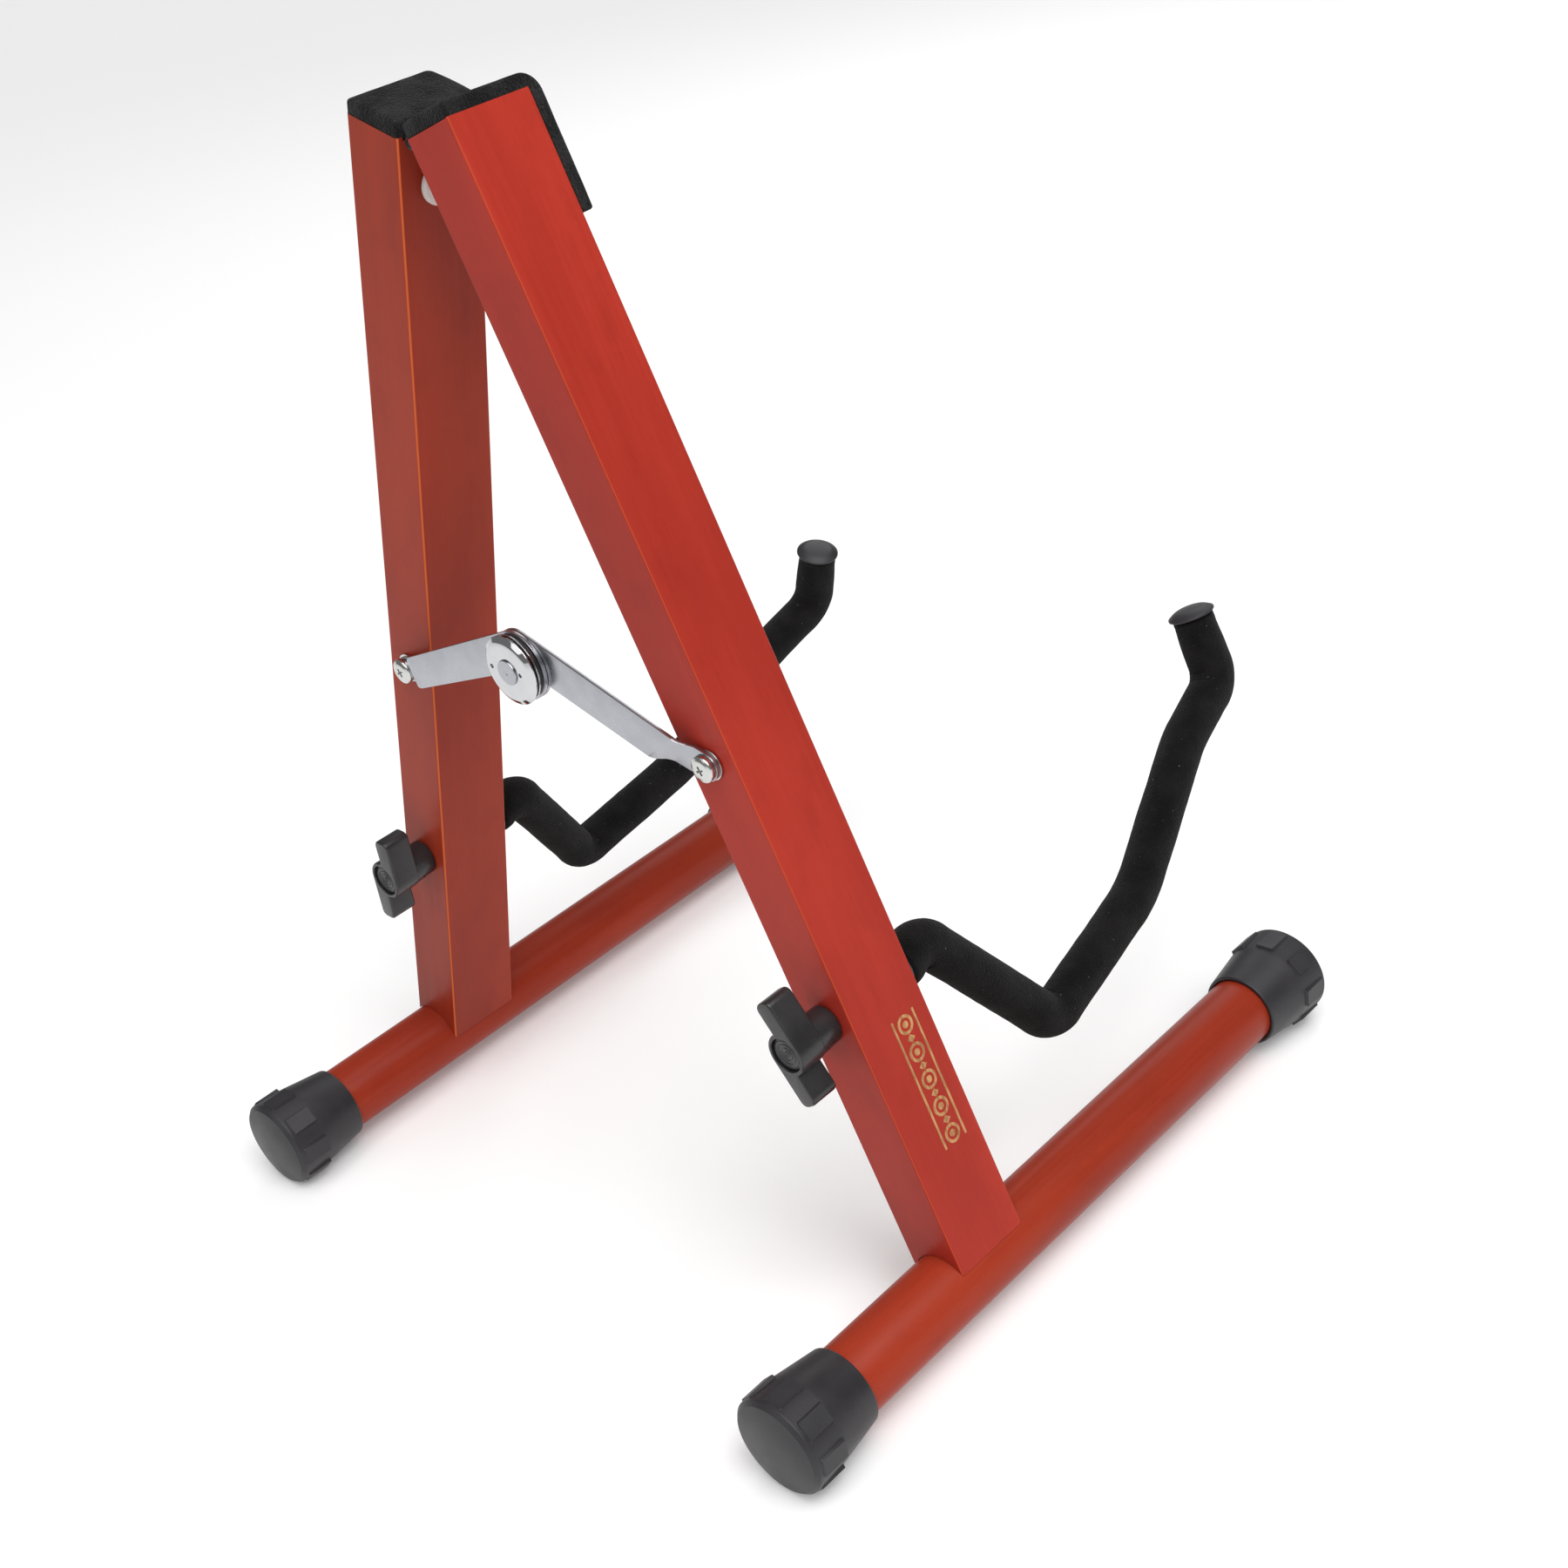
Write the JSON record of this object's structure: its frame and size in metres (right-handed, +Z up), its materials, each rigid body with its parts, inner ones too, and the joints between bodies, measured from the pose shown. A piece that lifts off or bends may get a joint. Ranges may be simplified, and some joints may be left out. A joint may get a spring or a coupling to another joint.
{
  "type": "folding guitar stand",
  "caption": "Folding wooden A-frame floor stand for a guitar, with foam-covered cradle arms, wing knobs, a plated folding stay and rubber end caps.",
  "frame": {"origin": "on the floor, at the middle of the stand outline", "axes": "+Z up; -Y is the front, where the guitar sits; +X is the right side seen from the front"},
  "size_m": [0.3516, 0.3626, 0.4568],
  "materials": {
    "stained_wood": "red mahogany stain under satin lacquer",
    "black_rubber": "moulded matt rubber",
    "black_foam": "closed-cell foam, fine matt skin",
    "black_plastic": "moulded nylon, low sheen",
    "bright_plate": "bright nickel plating",
    "plain_steel": "plain steel",
    "hinge_steel": "black oxide on steel",
    "white_felt": "off-white felt"
  },
  "bodies": {
    "left_frame": {"left_leg": "stained_wood", "left_base_bar": "stained_wood", "left_front_cap": "black_rubber", "left_back_cap": "black_rubber", "left_top_pad": "black_foam", "left_hinge_leaf": "hinge_steel", "left_hinge_screw_front": "hinge_steel", "left_hinge_screw_back": "hinge_steel", "left_bar_screw_front": "plain_steel", "left_bar_screw_back": "plain_steel", "hinge_pin": "hinge_steel", "left_stay_screw": "bright_plate", "left_stay_washer": "bright_plate"},
    "right_frame": {"right_leg": "stained_wood", "right_base_bar": "stained_wood", "right_front_cap": "black_rubber", "right_back_cap": "black_rubber", "right_top_pad": "black_foam", "right_hinge_leaf": "hinge_steel", "right_hinge_screw_front": "hinge_steel", "right_hinge_screw_back": "hinge_steel", "right_bar_screw_front": "plain_steel", "right_bar_screw_back": "plain_steel", "closing_bumper": "white_felt"},
    "left_stay": {"left_stay_arm": "bright_plate", "hub_inner_washer": "black_plastic", "hub_spacer_plate": "bright_plate", "hub_outer_washer": "black_plastic", "hub_cover": "bright_plate", "hub_rivet": "bright_plate"},
    "right_stay": {"right_stay_arm": "bright_plate", "right_stay_screw": "bright_plate", "right_stay_washer": "bright_plate"},
    "left_cradle": {"left_cradle_rod": "plain_steel", "left_cradle_sleeve": "black_foam", "left_cradle_collar": "black_plastic", "left_cradle_tip_cap": "black_plastic"},
    "left_knob_body": {"left_knob": "black_plastic", "left_knob_insert": "plain_steel", "left_knob_disc": "black_plastic"},
    "right_cradle": {"right_cradle_rod": "plain_steel", "right_cradle_sleeve": "black_foam", "right_cradle_collar": "black_plastic", "right_cradle_tip_cap": "black_plastic"},
    "right_knob_body": {"right_knob": "black_plastic", "right_knob_insert": "plain_steel", "right_knob_disc": "black_plastic"}
  },
  "joints": [
    {"name": "side_fold", "type": "hinge", "parent": "left_frame", "child": "right_frame", "pos_m": [0, 0.06725, 0.44183], "axis": [0, 1, 0], "range_deg": [0, 35]},
    {"name": "left_stay_pivot", "type": "hinge", "parent": "left_frame", "child": "left_stay", "pos_m": [-0.08637, 0.06725, 0.23034], "axis": [0, -1, 0], "range_deg": [0, 45.16]},
    {"name": "stay_hub", "type": "hinge", "parent": "left_stay", "child": "right_stay", "pos_m": [0, 0.06725, 0.25394], "axis": [0, 1, 0], "range_deg": [0, 125.27]},
    {"name": "left_cradle_swivel", "type": "hinge", "parent": "left_frame", "child": "left_cradle", "pos_m": [-0.11917, 0.06725, 0.1306], "axis": [0, 1, 0], "range_deg": [-40, 40]},
    {"name": "right_cradle_swivel", "type": "hinge", "parent": "right_frame", "child": "right_cradle", "pos_m": [0.11917, 0.06725, 0.1306], "axis": [0, 1, 0], "range_deg": [-40, 40]},
    {"name": "left_knob_turn", "type": "hinge", "parent": "left_frame", "child": "left_knob_body", "pos_m": [-0.11917, 0.06725, 0.1306], "axis": [0, 1, 0], "continuous": true},
    {"name": "right_knob_turn", "type": "hinge", "parent": "right_frame", "child": "right_knob_body", "pos_m": [0.11917, 0.06725, 0.1306], "axis": [0, 1, 0], "continuous": true}
  ],
  "couplings": [
    {"joint": "left_stay_pivot", "follows": "side_fold", "ratio": 1.2888},
    {"joint": "stay_hub", "follows": "side_fold", "ratio": 3.5777}
  ]
}
